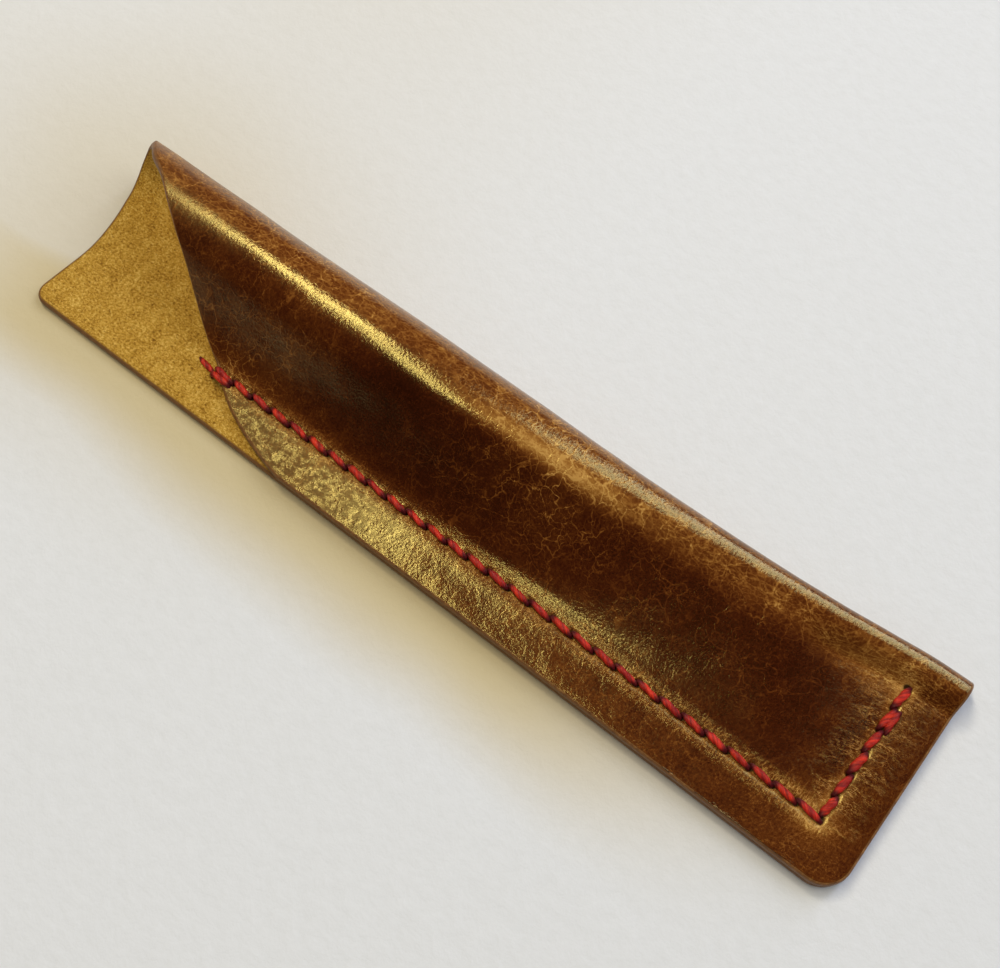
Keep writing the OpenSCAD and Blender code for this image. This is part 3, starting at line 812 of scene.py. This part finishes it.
# ---------------------------------------------------------------- floor, light, camera
def paper_material():
    g = Graph("white_paper")
    at = g.node("TexCoord").outputs["Object"]
    pulp = g.noise(at, 420.0, 4, 0.6)
    lumps = g.noise(at, 90.0, 3, 0.5)
    speck = g.step(g.voronoi(at, 46.0), 0.012, 0.022, 0.5, 0)
    rare = g.step(g.noise(g.shift(at, (3, 1, 0)), 31.0, 1), 0.66, 0.68)
    colour = g.mix(pulp, srgb(220, 220, 219), srgb(228, 228, 228))
    colour = g.mix(g.mul(speck, rare), colour, srgb(120, 110, 96))
    # The paper is a little yellow where the leather's shine falls on it.
    x, y, _ = g.split(g.shift(at, g.scale(g.noise(at, 30.0, 1, colour=True), (0.006, 0.006, 0.0))))
    beside = g.mul(g.step(y, -0.036, -0.019), g.step(y, -0.010, 0.0, 1, 0))
    beside = g.mul(beside, g.mul(g.step(x, -0.11, -0.07, 0.3), g.step(x, 0.02, 0.08, 0.85, 0)))
    before = g.mul(g.step(x, -0.125, -0.078, 0.15, 0.5), g.step(x, -0.078, 0.0, 1, 0))
    before = g.mul(before, g.mul(g.step(y, -0.05, -0.01), g.step(y, 0.01, 0.05, 1, 0.35)))
    warm = g.math("MAXIMUM", beside, before)
    colour = g.mix(warm, colour, srgb(200, 180, 128))
    height = g.add(g.mul(pulp, 0.7), g.mul(lumps, 0.6))
    # Far off, where the lamps don't reach, the camera still sees pale paper.
    far = g.step(g.length(at), 0.2, 1.6, 0.0, 0.55)
    glow = g.mul(far, g.node("LightPath").outputs["Is Camera Ray"])
    return g.finish(Base_Color=colour, Roughness=0.85, Normal=g.bump(height, 0.00018),
                    Specular_IOR_Level=0.25, Emission_Color=srgb(228, 229, 230), Emission_Strength=glow)


bpy.ops.mesh.primitive_grid_add(x_subdivisions=2, y_subdivisions=2, size=6, location=(0, 0, 0))
floor = bpy.context.object
floor.name = "paper_floor"
floor.data.materials.append(paper_material())


def softbox(name, direction, distance, width, height, power, colour, spin=0):
    """A rectangular lamp in that direction from the case, facing it, turned by spin degrees."""
    data = bpy.data.lights.new(name, "AREA")
    data.shape, data.size, data.size_y = "RECTANGLE", width, height
    data.energy, data.color = power, colour
    lamp = bpy.data.objects.new(name, data)
    v = Vector(direction).normalized()
    lamp.location = v * distance
    lamp.rotation_euler = (v.to_track_quat("Z", "Y") @ Quaternion((0, 0, 1), math.radians(spin))).to_euler()
    bpy.context.scene.collection.objects.link(lamp)
    return lamp


# Warm lamps for the shine on the allowance and the slope, a blue one for the fold, and a soft
# one that lights everything and isn't mirrored.
WARM, BLUE, DAYLIGHT = (1.0, 0.92, 0.74), (0.70, 0.77, 1.0), (0.90, 0.96, 1.0)
softbox("window", (-0.44, 0.25, 0.86), 1.0, 0.18, 0.24, 3.0, WARM)
softbox("tube", (-0.25, -0.035, 0.97), 1.0, 0.08, 0.47, 2.8, WARM, -62)
softbox("sky", (0.12, 0.80, 0.58), 1.2, 0.26, 1.1, 6.2, BLUE)
fill = softbox("fill", (0.55, 0.50, 0.66), 1.6, 1.0, 1.0, 6.4, DAYLIGHT)
fill.visible_glossy = False

world = bpy.data.worlds.new("room")
bpy.context.scene.world = world
world.use_nodes = True
room = world.node_tree
# The room's light, how dark it is in reflections, and how pale it is behind the floor's far edge.
AMBIENT, MIRRORED, BACKDROP = 0.20, 0.02, 0.72
rays = room.nodes.new("ShaderNodeLightPath").outputs
mirrored, seen = room.nodes.new("ShaderNodeMix"), room.nodes.new("ShaderNodeMix")
for mixer, ray, value in ((mirrored, "Is Glossy Ray", MIRRORED), (seen, "Is Camera Ray", BACKDROP)):
    room.links.new(rays[ray], mixer.inputs["Factor"])
    mixer.inputs["B"].default_value = value
mirrored.inputs["A"].default_value = AMBIENT
room.links.new(mirrored.outputs["Result"], seen.inputs["A"])
background = room.nodes["Background"]
room.links.new(seen.outputs["Result"], background.inputs["Strength"])
background.inputs["Color"].default_value = (0.93, 0.97, 1.0, 1)

# The camera's place in metres, and its turn about the vertical, its tilt from straight down and
# its roll in degrees.
CAMERA_AT, TURN, TILT, ROLL = (0.05016, -0.05649, 0.19277), 37.928, 21.152, -0.14
lens = bpy.data.cameras.new("camera")
lens.lens, lens.sensor_width, lens.sensor_fit = 46.8, 36.0, "HORIZONTAL"
camera = bpy.data.objects.new("camera", lens)
view = Matrix.Translation(CAMERA_AT)
for angle, axis in ((TURN, "Z"), (TILT, "X"), (ROLL, "Z")):
    view = view @ Matrix.Rotation(math.radians(angle), 4, axis)
camera.matrix_world = view
lens.clip_start, lens.clip_end = 0.01, 20
bpy.context.scene.collection.objects.link(camera)
bpy.context.scene.camera = camera
bpy.context.scene.view_settings.view_transform = "Standard"
